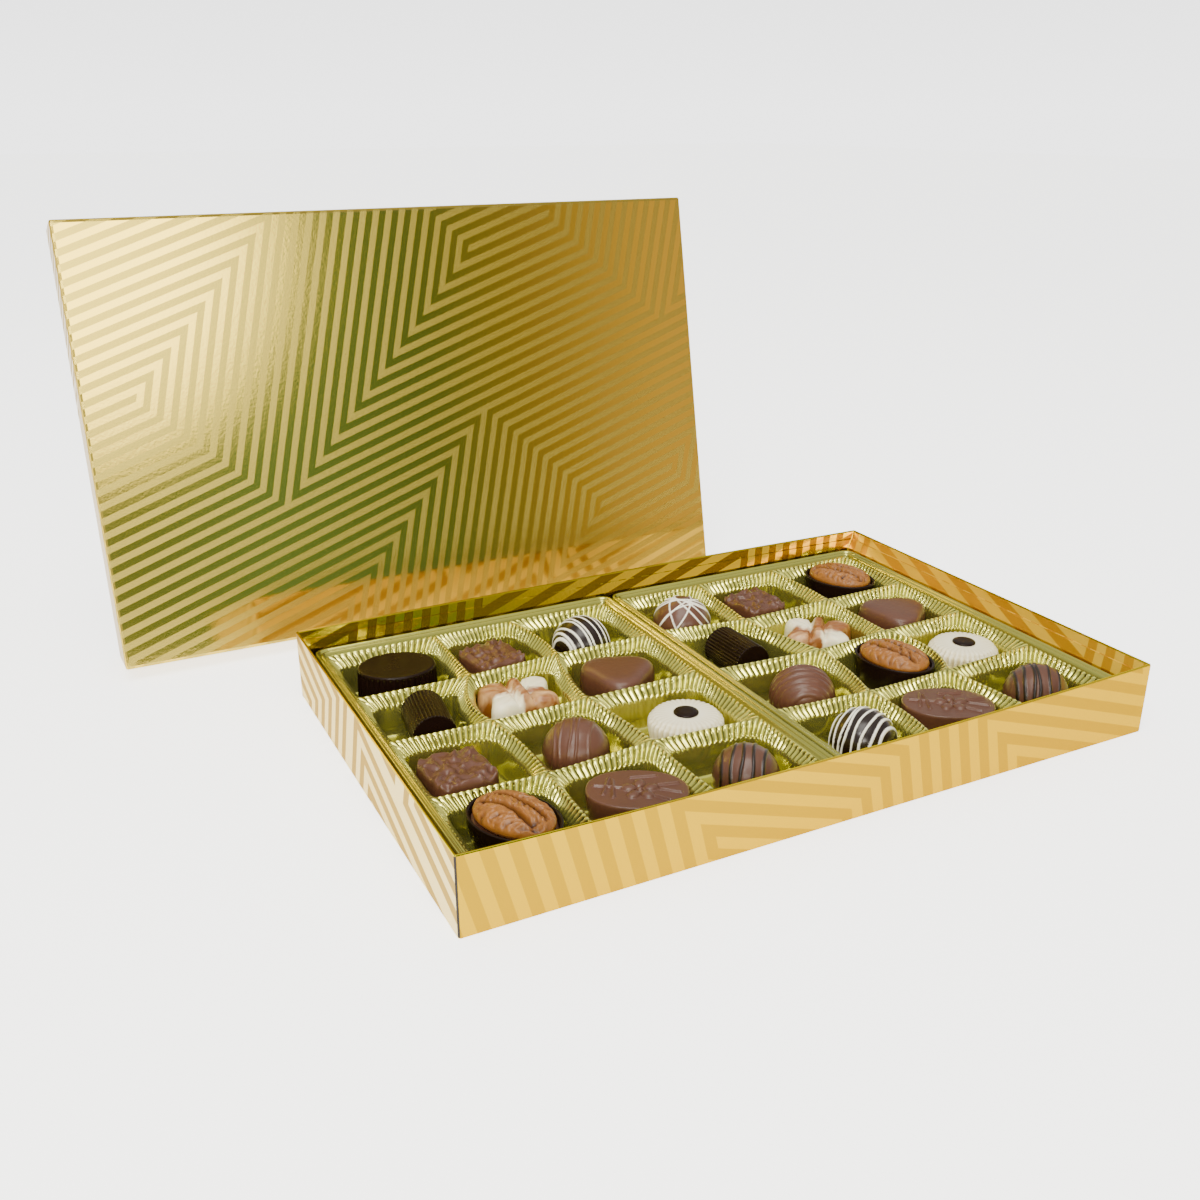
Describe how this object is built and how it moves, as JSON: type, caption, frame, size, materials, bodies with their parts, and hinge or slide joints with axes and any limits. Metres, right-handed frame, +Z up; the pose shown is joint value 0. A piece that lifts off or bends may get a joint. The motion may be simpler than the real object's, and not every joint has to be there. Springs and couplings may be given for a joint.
{
  "type": "box of chocolate pralines",
  "caption": "Open gift box of assorted moulded chocolate pralines in two compartmented trays, with its patterned foil lid standing behind it.",
  "frame": {"origin": "centre of the box's underside, on the floor", "axes": "+X along the box's long side to the right, +Y to the back, +Z up; the lid stands behind the box and leans back"},
  "size_m": [0.4031, 0.3412, 0.217],
  "materials": {
    "box_card": "gold foil-covered card, satin, with a two-tone band pattern",
    "lid_card": "mirror gold foil with matt beige bands",
    "tray_plastic": "thin metallised plastic, greenish gold, glossy",
    "milk_chocolate": "satin milk chocolate",
    "dark_chocolate": "satin dark chocolate",
    "white_chocolate": "satin white chocolate",
    "marbled_chocolate": "satin white and caramel marbled chocolate",
    "pecan": "dry roasted nut, slightly oily"
  },
  "bodies": {
    "root": {"box_base": "box_card", "lid": "lid_card", "tray_left": "tray_plastic", "tray_right": "tray_plastic", "dark_oval": "dark_chocolate", "craggy_square_left_back": "milk_chocolate", "striped_ball_left_back": "dark_chocolate", "log_left": "dark_chocolate", "butterfly_left": "marbled_chocolate", "triangle_left": "milk_chocolate", "craggy_square_left_front": "milk_chocolate", "striped_ball_left_middle": "milk_chocolate", "white_round_left": "white_chocolate", "dark_dot_left": "dark_chocolate", "pecan_cup_left": "dark_chocolate", "pecan_filling_left": "milk_chocolate", "pecan_half_left": "pecan", "relief_oval_left": "milk_chocolate", "striped_ball_left_front": "milk_chocolate", "striped_ball_right_back": "milk_chocolate", "craggy_square_right": "milk_chocolate", "pecan_cup_right_back": "dark_chocolate", "pecan_filling_right_back": "milk_chocolate", "pecan_half_right_back": "pecan", "log_right": "dark_chocolate", "butterfly_right": "marbled_chocolate", "triangle_right": "milk_chocolate", "ridged_ball_right": "milk_chocolate", "pecan_cup_right_middle": "dark_chocolate", "pecan_filling_right_middle": "milk_chocolate", "pecan_half_right_middle": "pecan", "white_round_right": "white_chocolate", "dark_dot_right": "dark_chocolate", "striped_ball_right_front": "dark_chocolate", "relief_oval_right": "milk_chocolate", "striped_ball_right_corner": "milk_chocolate"}
  },
  "joints": []
}
